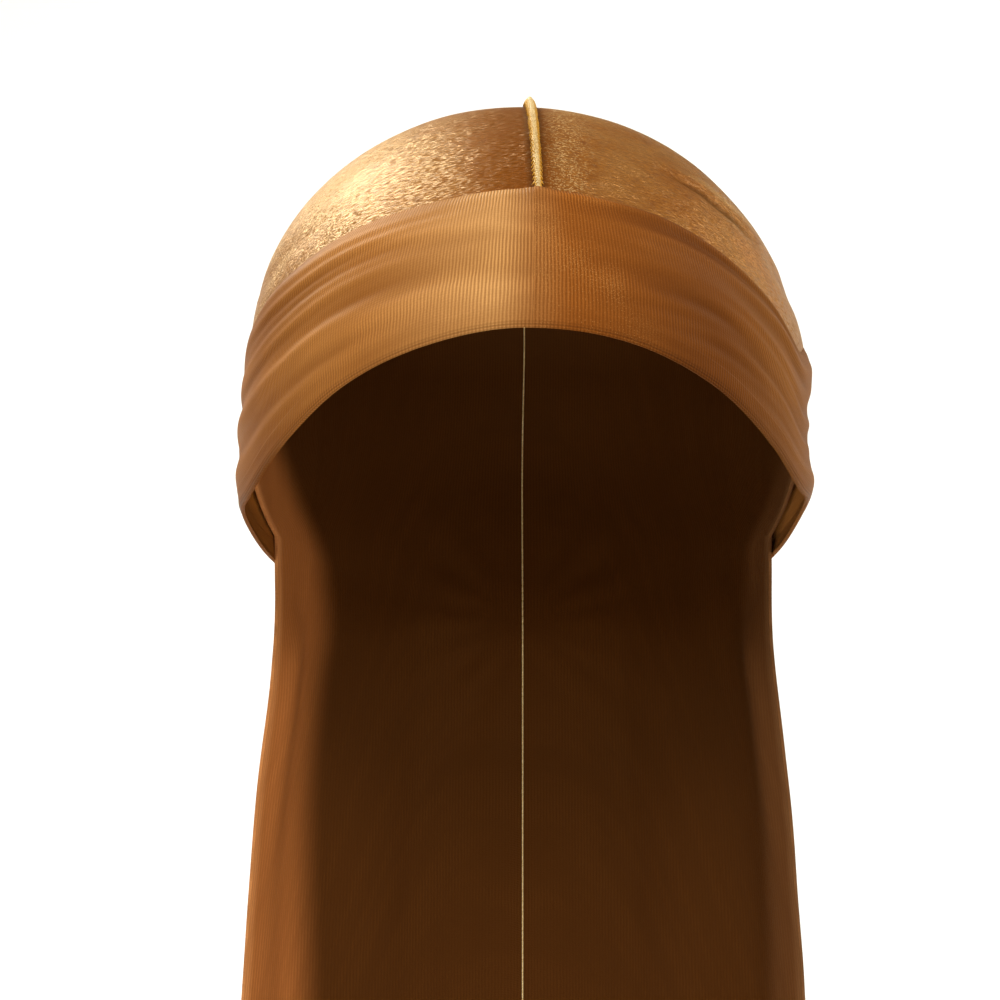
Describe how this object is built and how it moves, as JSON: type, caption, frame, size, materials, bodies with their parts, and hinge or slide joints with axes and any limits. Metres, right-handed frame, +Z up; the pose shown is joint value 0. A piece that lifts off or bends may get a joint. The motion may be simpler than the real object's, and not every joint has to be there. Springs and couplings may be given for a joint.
{
  "type": "durag",
  "caption": "Velvet head wrap with a raised centre seam, a cape over the neck, and wide ties that bind the brow and knot at the nape with hanging ends.",
  "frame": {"origin": "middle of the head that wears it, level with the eyes and midway between the ears", "axes": "+Z up, the face looks along -Y, +X is the right side seen from the front"},
  "size_m": [0.1968, 0.2017, 0.4272],
  "materials": {
    "velvet": "gold velvet with a short glossy pile",
    "tie_knit": "matte ribbed knit, the wrong side of the velvet",
    "seam_thread": "glossy yellow overlock thread"
  },
  "bodies": {
    "root": {"panel_left": "velvet", "panel_right": "velvet", "crown_seam": "seam_thread", "cape_seam": "seam_thread", "strap_left": "tie_knit", "strap_right": "tie_knit", "knot": "tie_knit", "tail_left": "tie_knit", "tail_right": "tie_knit"}
  },
  "joints": []
}
